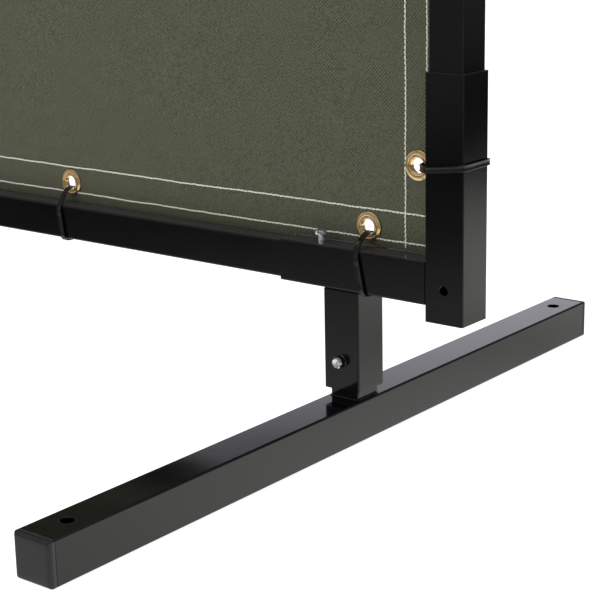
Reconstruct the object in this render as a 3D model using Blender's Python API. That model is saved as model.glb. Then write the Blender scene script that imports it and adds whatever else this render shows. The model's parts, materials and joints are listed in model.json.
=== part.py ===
"""Free-standing welding curtain screen, built from its separate pieces.

Two foot bars carry upright stubs. A knock-down frame of square tube drops over the stubs, and a
canvas curtain with a row of holes along each edge is tied into the frame with cable ties.
Metres, +Z up. The screen runs along X and its bolts face -Y. The origin is on the floor, under the
middle of the screen.
"""

import math

import bmesh
import bpy
from mathutils import Vector

# Tube stock
TUBE = 0.032
WALL = 0.0015
TUBE_RADIUS = 0.002
BORE_RADIUS = 0.0006
INNER_TUBE = 0.0284
STUB_TUBE = 0.0254
CORNER_STEPS = 3
GAP = 0.0003

# Feet
FOOT_LENGTH = 0.667
FOOT_X = 0.767
FOOT_HOLE_Y = 0.302
FOOT_HOLE_RADIUS = 0.005
CAP_FLANGE = 0.0055
CAP_ROUNDING = 0.0026
FOOT_SPIGOT = 0.016
POST_SPIGOT = 0.006

# Frame
LEG_BOTTOM = 0.039
RAIL_Z = 0.1329
TOP_RAIL_Z = 1.8539
POST_X = 0.858
SLEEVE_TAIL = 0.028
SLEEVE_REACH = 0.1506
RAIL_SLEEVE_END = 0.710
RAIL_END_MARGIN = 0.010
POST_END = 0.021
POST_HOLE_DROP = 0.0032
POST_HOLE_RADIUS = 0.0035

# Bolts and nuts
BOLT_RADIUS = 0.0025
BOLT_SIDES = 12
HEX_FLATS = 0.008
HEAD_HEIGHT = 0.0035
NUT_HEIGHT = 0.0033
SET_BOLT_X = 0.7445
SET_BOLT_Y = -0.009
SET_BOLT_STAND = 0.0065
LEG_BOLT_Z = 0.062
LEG_BOLT_STAND = 0.0038

# Curtain
CURTAIN_HALF = 0.838
CURTAIN_BOTTOM = 0.1496
CURTAIN_TOP = 1.8372
CURTAIN_Y = 0.0036
CURTAIN_THICKNESS = 0.0012
HOLE_PITCH = 0.312
HOLES_PER_EDGE = 6
HOLE_INSET = 0.014
HOLE_RADIUS = 0.0059
HOLE_SIDES = 16

# Cable ties
TIE_WIDTH = 0.0048
TIE_THICKNESS = 0.0012
TIE_LEAN = 0.005
LEG_TIE_LEAN = 0.0085
TIE_IN_HOLE = 0.0037
TIE_STEPS_PER_POINT = 2
TIE_HEAD_WIDTH = 0.0074
TIE_HEAD_THICKNESS = 0.0046
TIE_HEAD_STATIONS = (21, 22)

UP = Vector((0.0, 0.0, 1.0))
SIDES = {"right": 1.0, "left": -1.0}
FRAME_ENDS = {"bottom": (RAIL_Z, 1.0), "top": (TOP_RAIL_Z, -1.0)}


def clear_scene():
    for item in list(bpy.data.objects):
        bpy.data.objects.remove(item, do_unlink=True)


def make_material(name, colour, roughness, metallic=0.0):
    made = bpy.data.materials.new(name)
    made.use_nodes = True
    shader = made.node_tree.nodes["Principled BSDF"]
    shader.inputs["Base Color"].default_value = (*colour, 1.0)
    shader.inputs["Roughness"].default_value = roughness
    shader.inputs["Metallic"].default_value = metallic
    return made


def paint(item, finish):
    """Give an object its own copy of a finish."""
    own = FINISHES[finish].copy()
    own.name = f"{item.name}_{finish}"
    item.data.materials.append(own)


def ring_of(radius_at, height, count):
    """A closed ring of points whose distance from the axis is radius_at(angle)."""
    angles = [2.0 * math.pi * step / count for step in range(count)]
    return [(radius_at(a) * math.cos(a), radius_at(a) * math.sin(a), height) for a in angles]


def round_ring(radius, height, count=BOLT_SIDES):
    return ring_of(lambda angle: radius, height, count)


def hex_ring(flats, height, count=BOLT_SIDES):
    sector = math.pi / 3.0
    return ring_of(lambda angle: flats / 2.0 / math.cos(angle % sector - sector / 2.0), height, count)


def square_ring(half, radius, height):
    """A rounded square, with each corner an arc of CORNER_STEPS chords."""
    points = []
    for quarter in range(4):
        turn = quarter * math.pi / 2.0
        middle = turn + math.pi / 4.0
        reach = (half - radius) * math.sqrt(2.0)
        for step in range(CORNER_STEPS + 1):
            angle = turn + step * math.pi / 2.0 / CORNER_STEPS
            x = reach * math.cos(middle) + radius * math.cos(angle)
            y = reach * math.sin(middle) + radius * math.sin(angle)
            points.append((x, y, height))
    return points


def loft(name, rings, finish, closed=False):
    """Skin a list of equal rings, with flat ends, or closed on itself like a tube wall."""
    shape = bmesh.new()
    loops = [[shape.verts.new(point) for point in ring] for ring in rings]
    pairs = list(zip(loops, loops[1:]))
    if closed:
        pairs.append((loops[-1], loops[0]))
    else:
        shape.faces.new(reversed(loops[0]))
        shape.faces.new(loops[-1])
    count = len(rings[0])
    for low, high in pairs:
        for i in range(count):
            j = (i + 1) % count
            shape.faces.new((low[i], low[j], high[j], high[i]))
    bmesh.ops.recalc_face_normals(shape, faces=shape.faces)
    mesh = bpy.data.meshes.new(name)
    shape.to_mesh(mesh)
    shape.free()
    mesh.shade_smooth()
    mesh.set_sharp_from_angle(angle=math.radians(40.0))
    item = bpy.data.objects.new(name, mesh)
    bpy.context.scene.collection.objects.link(item)
    paint(item, finish)
    return item


def place(item, location, direction, parent=None):
    """Put an object's origin at a point, with its local +Z along a direction."""
    item.rotation_mode = "QUATERNION"
    item.rotation_quaternion = UP.rotation_difference(Vector(direction))
    item.location = location
    item.parent = parent
    return item


def empty(name, location):
    item = bpy.data.objects.new(name, None)
    item.location = location
    bpy.context.scene.collection.objects.link(item)
    return item


def tube(name, start, end, width, finish, parent=None):
    """A square tube between two points, open at both ends."""
    start, end = Vector(start), Vector(end)
    length = (end - start).length
    outside = width / 2.0
    inside = outside - WALL
    rings = [
        square_ring(outside, TUBE_RADIUS, 0.0),
        square_ring(outside, TUBE_RADIUS, length),
        square_ring(inside, BORE_RADIUS, length),
        square_ring(inside, BORE_RADIUS, 0.0),
    ]
    return place(loft(name, rings, finish, closed=True), start, end - start, parent)


def cut(target, cutter):
    """Subtract a guide object from a piece."""
    cutter.hide_render = True
    cutter.display_type = "WIRE"
    modifier = target.modifiers.new("hole", "BOOLEAN")
    modifier.operation = "DIFFERENCE"
    modifier.solver = "EXACT"
    modifier.object = cutter


def drill(target, point, direction, radius):
    """Drill one tube wall at a point on its outer face. The direction points out of the face."""
    reach = 2.0 * WALL
    rings = [round_ring(radius, -reach, HOLE_SIDES), round_ring(radius, reach, HOLE_SIDES)]
    cutter = place(loft(f"{target.name}_drill", rings, "steel"), point, direction, target.parent)
    cut(target, cutter)


def cap(name, location, direction, spigot, parent=None):
    """A push-in end plug: a rounded flange outside the tube and a spigot in its bore."""
    half = TUBE / 2.0
    bore_half = half - WALL - GAP
    crown = CAP_FLANGE - CAP_ROUNDING
    rings = [
        square_ring(bore_half - 0.001, BORE_RADIUS, -spigot),
        square_ring(bore_half, BORE_RADIUS, 0.003 - spigot),
        square_ring(bore_half, BORE_RADIUS, GAP),
        square_ring(half, TUBE_RADIUS, GAP),
        square_ring(half, TUBE_RADIUS, crown),
        square_ring(half - 0.3 * CAP_ROUNDING, TUBE_RADIUS, crown + 0.7 * CAP_ROUNDING),
        square_ring(half - CAP_ROUNDING, TUBE_RADIUS, CAP_FLANGE),
    ]
    return place(loft(name, rings, "plastic"), location, direction, parent)


def bolt(name, location, direction, stand, tip_depth):
    """A hexagon-head bolt. Its origin is on the face it stands on, and the direction points to its head."""
    crown = stand + HEAD_HEIGHT
    rings = [
        round_ring(BOLT_RADIUS - 0.0005, -tip_depth),
        round_ring(BOLT_RADIUS, 0.0005 - tip_depth),
        round_ring(BOLT_RADIUS, stand),
        hex_ring(HEX_FLATS, stand),
        hex_ring(HEX_FLATS, crown - 0.0005),
        round_ring(HEX_FLATS / 2.0 * 0.94, crown),
    ]
    return place(loft(name, rings, "zinc"), location, direction)


def nut(name, location, direction):
    """A hexagon nut welded on the face it stands on."""
    bore = BOLT_RADIUS + GAP
    rings = [
        hex_ring(HEX_FLATS, GAP),
        hex_ring(HEX_FLATS, NUT_HEIGHT),
        round_ring(bore, NUT_HEIGHT),
        round_ring(bore, GAP),
    ]
    return place(loft(name, rings, "steel", closed=True), location, direction)


def foot(side, sign):
    """Foot bar with end plugs and the stub that carries the frame, around the stub's upright axis."""
    centre = empty(f"foot_{side}_axis", (sign * FOOT_X, 0.0, 0.0))
    middle = TUBE / 2.0
    end = FOOT_LENGTH / 2.0 - CAP_FLANGE
    bar = tube(f"foot_tube_{side}", (0.0, -end, middle), (0.0, end, middle), TUBE, "steel", centre)
    for facing, way in (("front", -1.0), ("back", 1.0)):
        drill(bar, (0.0, way * FOOT_HOLE_Y, TUBE), UP, FOOT_HOLE_RADIUS)
        cap(f"foot_cap_{side}_{facing}", (0.0, way * end, middle), (0.0, way, 0.0), FOOT_SPIGOT, centre)
    stub_top = RAIL_Z - middle - GAP
    tube(f"foot_stub_{side}", (0.0, 0.0, TUBE + GAP), (0.0, 0.0, stub_top), STUB_TUBE, "steel", centre)


def leg(side, sign):
    """Socket under the bottom rail that drops over the stub, with its clamp bolt and welded nut."""
    x = sign * FOOT_X
    top = RAIL_Z - TUBE / 2.0 - GAP
    face = (x, -TUBE / 2.0, LEG_BOLT_Z)
    front = Vector((0.0, -1.0, 0.0))
    socket = tube(f"leg_socket_{side}", (x, 0.0, LEG_BOTTOM), (x, 0.0, top), TUBE, "steel")
    drill(socket, face, front, BOLT_RADIUS + GAP)
    nut(f"leg_nut_{side}", face, front)
    tip_depth = (TUBE - STUB_TUBE) / 2.0 - GAP
    bolt(f"leg_bolt_{side}", face, front, LEG_BOLT_STAND, tip_depth)


def corner(side, sign, end, rail_z, inward):
    """Corner of the frame: a post sleeve, a rail sleeve welded to it and the rail sleeve's set bolt."""
    post_x = sign * POST_X
    low = (post_x, 0.0, rail_z - inward * SLEEVE_TAIL)
    high = (post_x, 0.0, rail_z + inward * SLEEVE_REACH)
    sleeve = tube(f"post_sleeve_{end}_{side}", low, high, TUBE, "steel")
    hole = (post_x, -TUBE / 2.0, rail_z - inward * POST_HOLE_DROP)
    drill(sleeve, hole, (0.0, -1.0, 0.0), POST_HOLE_RADIUS)
    outer = (sign * (POST_X - TUBE / 2.0 - GAP), 0.0, rail_z)
    inner = (sign * RAIL_SLEEVE_END, 0.0, rail_z)
    sleeve = tube(f"rail_sleeve_{end}_{side}", outer, inner, TUBE, "steel")
    face = (sign * SET_BOLT_X, SET_BOLT_Y, rail_z + inward * TUBE / 2.0)
    drill(sleeve, face, inward * UP, BOLT_RADIUS + GAP)
    bolt(f"set_bolt_{end}_{side}", face, inward * UP, SET_BOLT_STAND, WALL)


def frame_members():
    """The two posts and two rails that join the corners, and the plugs in the open top ends."""
    low, high = RAIL_Z - POST_END, TOP_RAIL_Z + POST_END
    cap_z = TOP_RAIL_Z + SLEEVE_TAIL
    rail_half = POST_X - TUBE / 2.0 - RAIL_END_MARGIN
    for side, sign in SIDES.items():
        x = sign * POST_X
        tube(f"post_{side}", (x, 0.0, low), (x, 0.0, high), INNER_TUBE, "steel")
        cap(f"post_cap_{side}", (x, 0.0, cap_z), UP, POST_SPIGOT)
    for end, (rail_z, _) in FRAME_ENDS.items():
        tube(f"rail_{end}", (-rail_half, 0.0, rail_z), (rail_half, 0.0, rail_z), INNER_TUBE, "steel")


def curtain_holes():
    """Each hole's edge name, number, centre, and the way from it to the tube it is tied to."""
    span = HOLE_PITCH * (HOLES_PER_EDGE - 1)
    middle_z = (CURTAIN_BOTTOM + CURTAIN_TOP) / 2.0
    edges = (
        ("bottom", -UP, CURTAIN_BOTTOM + HOLE_INSET),
        ("top", UP, CURTAIN_TOP - HOLE_INSET),
        ("right", Vector((1.0, 0.0, 0.0)), CURTAIN_HALF - HOLE_INSET),
        ("left", Vector((-1.0, 0.0, 0.0)), HOLE_INSET - CURTAIN_HALF),
    )
    holes = []
    for edge, outward, level in edges:
        for number in range(HOLES_PER_EDGE):
            along = HOLE_PITCH * number - span / 2.0
            if edge in FRAME_ENDS:
                centre = Vector((along, 0.0, level))
            else:
                centre = Vector((level, 0.0, middle_z + along))
            holes.append((edge, number + 1, centre, outward))
    return holes


def curtain():
    """The canvas as one thin slab with the tie holes cut through it."""
    shape = bmesh.new()
    bmesh.ops.create_cube(shape, size=1.0)
    size = (2.0 * CURTAIN_HALF, CURTAIN_THICKNESS, CURTAIN_TOP - CURTAIN_BOTTOM)
    bmesh.ops.scale(shape, vec=size, verts=shape.verts)
    mesh = bpy.data.meshes.new("curtain")
    shape.to_mesh(mesh)
    shape.free()
    panel = bpy.data.objects.new("curtain", mesh)
    panel.location = (0.0, CURTAIN_Y, (CURTAIN_BOTTOM + CURTAIN_TOP) / 2.0)
    bpy.context.scene.collection.objects.link(panel)
    paint(panel, "canvas")
    for edge, number, centre, _ in curtain_holes():
        reach = 2.0 * CURTAIN_THICKNESS
        rings = [round_ring(HOLE_RADIUS, -reach, HOLE_SIDES), round_ring(HOLE_RADIUS, reach, HOLE_SIDES)]
        cutter = loft(f"hole_{edge}_{number}", rings, "steel")
        cut(panel, place(cutter, (centre.x, CURTAIN_Y, centre.z), (0.0, 1.0, 0.0)))


def tie_outline(reach):
    """Points of a loose loop round a tube: depth along Y, and distance from the tube towards the hole."""
    hole = (CURTAIN_Y, reach - TIE_IN_HOLE)
    front = [(-0.0082, 0.0238), (-0.0184, 0.0145), (-0.0192, 0.0), (-0.0184, -0.0148)]
    under = [(-0.0146, -0.0184), (0.0, -0.0187), (0.0146, -0.0184)]
    back = [(0.0184, -0.0148), (0.0190, 0.0), (0.0184, 0.0145), (0.0132, 0.0222)]
    return [hole, *front, *under, *back]


def smooth_loop(points, steps):
    """A closed Catmull-Rom curve through the points, with a number of steps from each to the next."""
    count = len(points)
    curve = []
    for i in range(count):
        a, b, c, d = (Vector(points[(i + k - 1) % count]) for k in range(4))
        for step in range(steps):
            t = step / steps
            bend = 2.0 * a - 5.0 * b + 4.0 * c - d
            sweep = 3.0 * b - 3.0 * c + d - a
            curve.append(0.5 * (2.0 * b + (c - a) * t + bend * t**2 + sweep * t**3))
    return curve


def tie(edge, number, centre, outward):
    """A cable tie: a flat band through one hole and round the tube, with its head behind the tube."""
    tube_at = {"bottom": RAIL_Z, "top": TOP_RAIL_Z, "right": POST_X, "left": -POST_X}[edge]
    reach = abs(tube_at - (centre.z if edge in FRAME_ENDS else centre.x))
    path = smooth_loop(tie_outline(reach), TIE_STEPS_PER_POINT)
    count = len(path)
    across = Vector((1.0, 0.0, 0.0)) if edge in FRAME_ENDS else UP
    axis = centre + outward * reach
    far_side = min(point.y for point in path)
    beside_leg = edge == "bottom" and number in (1, HOLES_PER_EDGE)
    most_lean = LEG_TIE_LEAN if beside_leg else TIE_LEAN
    if edge in FRAME_ENDS:
        most_lean = math.copysign(most_lean, centre.x)
    rings = []
    for i, point in enumerate(path):
        ahead = path[(i + 1) % count] - path[i - 1]
        normal = Vector((ahead.y, -ahead.x)).normalized()
        if normal.dot(point) < 0.0:
            normal = -normal
        is_head = i in TIE_HEAD_STATIONS
        half_width = (TIE_HEAD_WIDTH if is_head else TIE_WIDTH) / 2.0
        out = TIE_HEAD_THICKNESS if is_head else TIE_THICKNESS / 2.0
        lean = most_lean * (reach - point.y) / (reach - far_side)
        ring = []
        for side, lift in ((-1, -TIE_THICKNESS / 2.0), (1, -TIE_THICKNESS / 2.0), (1, out), (-1, out)):
            depth, rise = point + normal * lift
            place_at = axis - outward * rise + across * (lean + side * half_width)
            ring.append((place_at.x, depth, place_at.z))
        rings.append(ring)
    loft(f"tie_{edge}_{number}", rings, "nylon", closed=True)


clear_scene()
FINISHES = {
    "steel": make_material("steel", (0.012, 0.012, 0.013), 0.35),
    "plastic": make_material("plastic", (0.018, 0.018, 0.018), 0.5),
    "zinc": make_material("zinc", (0.62, 0.64, 0.66), 0.3, 1.0),
    "canvas": make_material("canvas", (0.085, 0.095, 0.06), 0.9),
    "nylon": make_material("nylon", (0.01, 0.01, 0.01), 0.4),
}
for side_name, side_sign in SIDES.items():
    foot(side_name, side_sign)
    leg(side_name, side_sign)
    for end_name, (level, way_in) in FRAME_ENDS.items():
        corner(side_name, side_sign, end_name, level, way_in)
frame_members()
curtain()
for hole_edge, hole_number, hole_centre, way_out in curtain_holes():
    tie(hole_edge, hole_number, hole_centre, way_out)
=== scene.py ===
"""Looks of the welding curtain screen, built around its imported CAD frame.

Every tube, plug, bolt and cable tie is made again with finer edges in the place of its CAD node. The
canvas gets its hems, stitching and brass grommets, which the CAD model leaves out.
Metres, in the CAD model's own frame: +Z up, the screen along X, the bolts facing -Y.
"""

import json
import math
import random

import bmesh
import bpy
from mathutils import Matrix, Vector

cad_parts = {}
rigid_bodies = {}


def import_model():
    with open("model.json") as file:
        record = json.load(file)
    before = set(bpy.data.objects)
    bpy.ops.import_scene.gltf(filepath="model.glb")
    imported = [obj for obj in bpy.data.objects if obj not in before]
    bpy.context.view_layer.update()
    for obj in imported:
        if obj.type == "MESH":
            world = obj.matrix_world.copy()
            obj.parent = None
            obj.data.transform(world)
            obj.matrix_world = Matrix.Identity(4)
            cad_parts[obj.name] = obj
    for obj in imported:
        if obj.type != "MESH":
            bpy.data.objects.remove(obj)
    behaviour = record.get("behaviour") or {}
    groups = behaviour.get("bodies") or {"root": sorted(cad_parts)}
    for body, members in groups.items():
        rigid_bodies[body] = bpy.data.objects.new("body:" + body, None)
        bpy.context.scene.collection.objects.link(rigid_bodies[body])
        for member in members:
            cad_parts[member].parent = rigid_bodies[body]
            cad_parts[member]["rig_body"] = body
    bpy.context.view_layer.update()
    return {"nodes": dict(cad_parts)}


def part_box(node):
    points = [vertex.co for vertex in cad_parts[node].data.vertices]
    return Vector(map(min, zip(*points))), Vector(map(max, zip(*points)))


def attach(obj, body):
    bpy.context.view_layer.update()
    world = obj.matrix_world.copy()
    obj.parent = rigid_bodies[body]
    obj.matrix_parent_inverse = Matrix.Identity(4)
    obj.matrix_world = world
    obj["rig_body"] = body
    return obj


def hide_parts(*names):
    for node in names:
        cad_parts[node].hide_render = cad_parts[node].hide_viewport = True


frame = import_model()
NODES = frame["nodes"]

# Camera, solved from the photograph's perspective
CAMERA_PLACE = (1.4757, -0.9568, 0.4306)
CAMERA_RIGHT = (0.78440, 0.61993, -0.02014)
CAMERA_FORWARD = (-0.60289, 0.75440, -0.25961)
CAMERA_LENS = 100.3
CAMERA_SENSOR = 36.0
CAMERA_FAR = 60.0

# Square tube: its wall and corners, and how its cut ends and drilled holes are broken
WALL = 0.0015
CORNER_RADIUS = 0.0014
BORE_RADIUS = 0.0006
CORNER_STEPS = 8
EDGE_BREAK = 0.0003
EDGE_STEPS = 3
HOLD = 0.0004
HOLE_BREAK = 0.0006
BREAK_STEPS = 4
DRILL_DEPTH = 1.6
SHARP_ANGLE = 35.0

# Holes: their radii, and how far they are from the middle or the end of their tube
FOOT_HOLE_RADIUS = 0.005
FOOT_HOLE_Y = 0.302
POST_HOLE_RADIUS = 0.0035
POST_HOLE_FROM_TAIL = 0.0248
POST_HOLE_EASE = 0.0006
BOLT_HOLE_RADIUS = 0.0028

# End plugs
PLUG_ROUNDING = 0.0026
PLUG_EASE = 0.0002
PLUG_STEPS = 7
FOOT_SPIGOT = 0.012
POST_SPIGOT = 0.006
SPIGOT_TAPER = 0.001
SPIGOT_LEAD = 0.003
FLANGE_UNDER_EDGE = ((0.0005, 0.0), (0.0002, 0.0001), (0.0, 0.0004))
CROWN_INSET = 0.004
CROWN_RADIUS = 0.0012
CROWN_DIP = 0.00005

# Weld beads
DROP_LENGTH = 0.0022
DROP_STEPS = 4
STUB_BEAD = 0.0015
STUB_BEAD_RAISE = 0.0002
LEG_BEAD = 0.0018
CORNER_BEAD = 0.0020
BEAD_INSET = 0.003

# Bolts
THREAD_RADIUS = 0.0025
THREAD_PITCH = 0.0008
THREAD_DEPTH = 0.00025
STEPS_PER_TURN = 8
HEX_FLATS = 0.008
NUT_HEIGHT = 0.0033
BOSS_RADIUS = 0.0034
HEAD_HEIGHT = 0.0035
WASHER_HEIGHT = 0.0003
CHAMFERED = 0.93
ROUND_STEPS = 24

# Curtain
PLY = 0.0006
HEM_PLIES = 3.0
YARN = 0.0014
YARN_WANDER = 0.006
HEM_WIDTH = 0.0285
HEM_STEP = 0.0008
HEM_DROP_RAIL = 0.00235
HEM_DROP_SLEEVE = 0.0004
STEP_OUTSIDE = 0.003
STEP_INSIDE = 0.001
TAUT_MARGIN = 0.12
BILLOW = 0.0016
SWAY = 0.0008
RIPPLE = 0.0005
CLOTH_CELL = 0.012
CLOTH_HOLE = 0.0066
HOLE_PITCH = 0.312
HOLES_PER_EDGE = 6
HOLE_INSET = 0.014
ROW_INSETS = (0.0057, 0.0276)
COLUMN_INSETS = (0.0063, 0.0250)
STITCH = 0.0036
THREAD = 0.00064
THREAD_SIDES = 6
THREAD_SQUASH = 0.8
SEAM_MARGIN = 0.0015
SEAM_UNDER_RIM = 0.0012

# Grommet: its radii, and which rings of its outline get painted shade, at the rim and in the groove
GROMMET_OUTER = 0.01135
GROMMET_BORE = 0.0059
GROMMET_STEPS = 48
PAINTED_SHADE_RINGS = (0, 1, 2, 3, 16, 17, 18, 19)

# Cable tie: its band, how it leans, its path's steps, and its head and tail
TIE_WIDTH = 0.0048
TIE_THICKNESS = 0.0012
TIE_BORDER = 0.0009
TIE_RAISE = 0.00025
TIE_RIB = 0.00009
TIE_EDGE = 0.00022
TIE_LEAN = 0.006
LEG_TIE_LEAN = 0.0085
TIE_IN_HOLE = 0.0037
TIE_LEAN_CURVE = 1.3
TIE_STEPS_PER_POINT = 9
TIE_HEAD_AT = 12.6
BLOCK_SIDES = 16
BLOCK_SQUARENESS = 0.28
TIE_HEAD_SIZE = (0.0074, 0.0046, 0.0076)
TIE_TAIL_SIZE = (0.0044, 0.0011, 0.0052)
TIE_HEAD_RAISE = 0.0014
TIE_TAIL_RAISE = 0.0022
TIE_TAIL_AHEAD = 0.0056

# Colours, as linear red, green and blue. A pair is what a surface drifts between.
PAINT = ((0.0024, 0.0024, 0.0025), (0.0040, 0.0039, 0.0039))
PAINT_WORN = (0.035, 0.034, 0.033)
# Painted sheen for faces that look straight up, standing for light from above.
PAINTED_TOP_SHEEN = (0.066, 0.061, 0.066)
PLUG = ((0.010, 0.0097, 0.0099), (0.016, 0.0155, 0.0155))
PLUG_WORN = (0.05, 0.049, 0.048)
# Painted reflections on the zinc: the dark and bright that its facets would reflect.
ZINC_PAINTED_REFLECTIONS = ((0.30, 0.315, 0.33), (0.97, 0.99, 1.0))
BRIGHT_BRASS = ((0.98, 0.74, 0.38), (0.62, 0.36, 0.12))
# Brass in painted shade, for the grommet's rim and groove.
SHADED_BRASS = ((0.26, 0.13, 0.04), (0.10, 0.045, 0.015))
NYLON = ((0.0028, 0.0028, 0.0029), (0.0052, 0.0051, 0.0051))
YARNS = ((0.017, 0.019, 0.009), (0.145, 0.152, 0.096))
FLECK_LIGHT = (0.135, 0.141, 0.092)
FLECK_DARK = (0.036, 0.039, 0.022)
FADED = (0.080, 0.089, 0.057)
COTTON = ((0.70, 0.68, 0.56), (1.0, 0.98, 0.88))
FLOOR = ((0.86, 0.86, 0.86), (0.90, 0.90, 0.90))

# The middle of a noise's values, where nearly all of them lie
NOISE_LOW = 0.3
NOISE_HIGH = 0.7

# Brightness of the room's reflections, as (height of the direction, brightness)
BEHIND_BELOW = (
    (-1.0, 0.9), (-0.42, 1.30), (-0.36, 1.58), (-0.31, 1.24), (-0.285, 0.80),
    (-0.26, 1.32), (-0.24, 1.32), (-0.21, 0.98), (-0.193, 0.45),
    (-0.18, 0.06), (-0.14, 0.0), (-0.12, 0.08), (-0.09, 0.14),
)
FRONT_BELOW = (
    (-1.0, 0.9), (-0.36, 0.85), (-0.31, 0.76), (-0.28, 0.46),
    (-0.26, 0.42), (-0.235, 0.14), (-0.215, 0.02), (-0.19, 0.0), (-0.14, 0.24),
)
ABOVE = (
    (0.06, 0.05), (0.20, 1.1), (0.27, 1.2), (0.304, 0.97),
    (0.330, 0.68), (0.345, 0.20), (0.352, 0.05), (0.50, 0.05),
)

# Tints of the room's light, and the floor
WARM_BELOW = (1.0, 0.99, 0.96)
COOL_ABOVE = (0.98, 0.96, 1.06)
FLOOR_REACH = 14.0
FLOOR_GAP = 0.0002

# Directions, and the sign of each side and each end of the frame
UP = Vector((0.0, 0.0, 1.0))
RIGHT = Vector((1.0, 0.0, 0.0))
FRONT = Vector((0.0, -1.0, 0.0))
SIDES = {"right": 1.0, "left": -1.0}
FRAME_ENDS = {"bottom": 1.0, "top": -1.0}

CURTAIN_LOW, CURTAIN_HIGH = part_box("curtain")
SLEEVE_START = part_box("rail_sleeve_bottom_right")[0].x

chance = random.Random(7)


# Meshes

def add_object(name, vertices, faces, material, sharp=SHARP_ANGLE):
    """A new mesh object, smooth except where its faces meet at more than an angle."""
    mesh = bpy.data.meshes.new(name)
    mesh.from_pydata([tuple(v) for v in vertices], [], faces)
    item = bpy.data.objects.new(name, mesh)
    bpy.context.scene.collection.objects.link(item)
    shape = bmesh.new()
    shape.from_mesh(mesh)
    bmesh.ops.recalc_face_normals(shape, faces=shape.faces)
    shape.to_mesh(mesh)
    shape.free()
    mesh.shade_smooth()
    mesh.set_sharp_from_angle(angle=math.radians(sharp))
    mesh.materials.append(material)
    return item


def skin(rings, closed=False, caps=True):
    """Vertices and faces over a list of equal rings, closed on itself or with flat ends."""
    count = len(rings[0])
    vertices = [point for ring in rings for point in ring]
    faces = []
    last = len(rings) if closed else len(rings) - 1
    for r in range(last):
        low, high = r * count, (r + 1) % len(rings) * count
        for i in range(count):
            j = (i + 1) % count
            faces.append((low + i, low + j, high + j, high + i))
    if not closed and caps:
        faces.append(tuple(range(count))[::-1])
        faces.append(tuple((len(rings) - 1) * count + i for i in range(count)))
    return vertices, faces


def merge(parts):
    """Several lists of vertices and faces as one."""
    vertices, faces = [], []
    for some_vertices, some_faces in parts:
        start = len(vertices)
        vertices.extend(some_vertices)
        faces.extend(tuple(start + i for i in face) for face in some_faces)
    return vertices, faces


def polar(radius, angle, height=0.0):
    return Vector((radius * math.cos(angle), radius * math.sin(angle), height))


def quarter_turn(steps):
    """Angles from 0 to 90 degrees, in radians."""
    return [step * math.pi / 2.0 / steps for step in range(steps + 1)]


def square_ring(half, radius, height):
    """A rounded square with a short flat held beside each corner, so that the wide flats shade flat."""
    points = []
    for quarter in range(4):
        start = quarter * math.pi / 2.0
        out, along = polar(1.0, start), polar(1.0, start + math.pi / 2.0)
        centre = (half - radius) * (out + along) + height * UP
        points.append(centre - HOLD * along + radius * out)
        points += [centre + polar(radius, start + angle) for angle in quarter_turn(CORNER_STEPS)]
        points.append(centre - HOLD * out + radius * along)
    return points


def round_ring(radius, height, count=ROUND_STEPS):
    return [polar(radius, 2.0 * math.pi * step / count, height) for step in range(count)]


def turned(direction, place):
    """A move that takes local +Z to a direction and the origin to a place."""
    spin = UP.rotation_difference(Vector(direction)).to_matrix().to_4x4()
    return Matrix.Translation(Vector(place)) @ spin


def moved(part, move):
    vertices, faces = part
    return [tuple(move @ Vector(v)) for v in vertices], faces


def middle(node):
    low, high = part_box(node)
    return (low + high) / 2.0


def body_of(node):
    return NODES[node]["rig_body"]


def stand_for(item, node):
    """Put a new piece in the place of a CAD node."""
    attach(item, body_of(node))
    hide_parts(node)


# Materials

class Nodes:
    """Short ways to add nodes to a node tree."""

    def __init__(self, node_tree):
        self.nodes = node_tree.nodes
        self.links = node_tree.links

    def add(self, kind):
        return self.nodes.new(f"ShaderNode{kind}")

    def link(self, source, target):
        self.links.new(source, target)

    def feed(self, socket, value):
        """Set a socket to a number or a colour, or link an output to it."""
        if isinstance(value, (int, float)):
            socket.default_value = value
        elif isinstance(value, tuple):
            socket.default_value = (*value, 1.0)
        else:
            self.link(value, socket)

    def math(self, operation, first, second=0.0):
        node = self.add("Math")
        node.operation = operation
        self.feed(node.inputs[0], first)
        self.feed(node.inputs[1], second)
        return node.outputs[0]

    def fit(self, value, low, high, to_low=0.0, to_high=1.0, smooth=False):
        node = self.add("MapRange")
        if smooth:
            node.interpolation_type = "SMOOTHSTEP"
        self.link(value, node.inputs["Value"])
        for name, number in zip(("From Min", "From Max", "To Min", "To Max"), (low, high, to_low, to_high)):
            node.inputs[name].default_value = number
        return node.outputs["Result"]

    def mix(self, factor, first, second):
        node = self.add("Mix")
        node.data_type = "RGBA"
        sockets = {socket.identifier: socket for socket in node.inputs}
        for name, value in (("Factor_Float", factor), ("A_Color", first), ("B_Color", second)):
            self.feed(sockets[name], value)
        return {socket.identifier: socket for socket in node.outputs}["Result_Color"]

    def separate(self, vector):
        node = self.add("SeparateXYZ")
        self.link(vector, node.inputs["Vector"])
        return node.outputs

    def ramp(self, value, low, high, stops):
        """Brightness along a value: evenly blended stops of (value, brightness)."""
        node = self.add("ValToRGB")
        elements = node.color_ramp.elements
        places = [(at - low) / (high - low) for at, _ in stops]
        elements[0].position, elements[-1].position = places[0], places[-1]
        for place in places[1:-1]:
            elements.new(place)
        for element, (_, bright) in zip(elements, stops):
            element.color = (bright, bright, bright, 1.0)
        self.link(self.fit(value, low, high), node.inputs["Fac"])
        return node.outputs["Color"]


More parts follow.
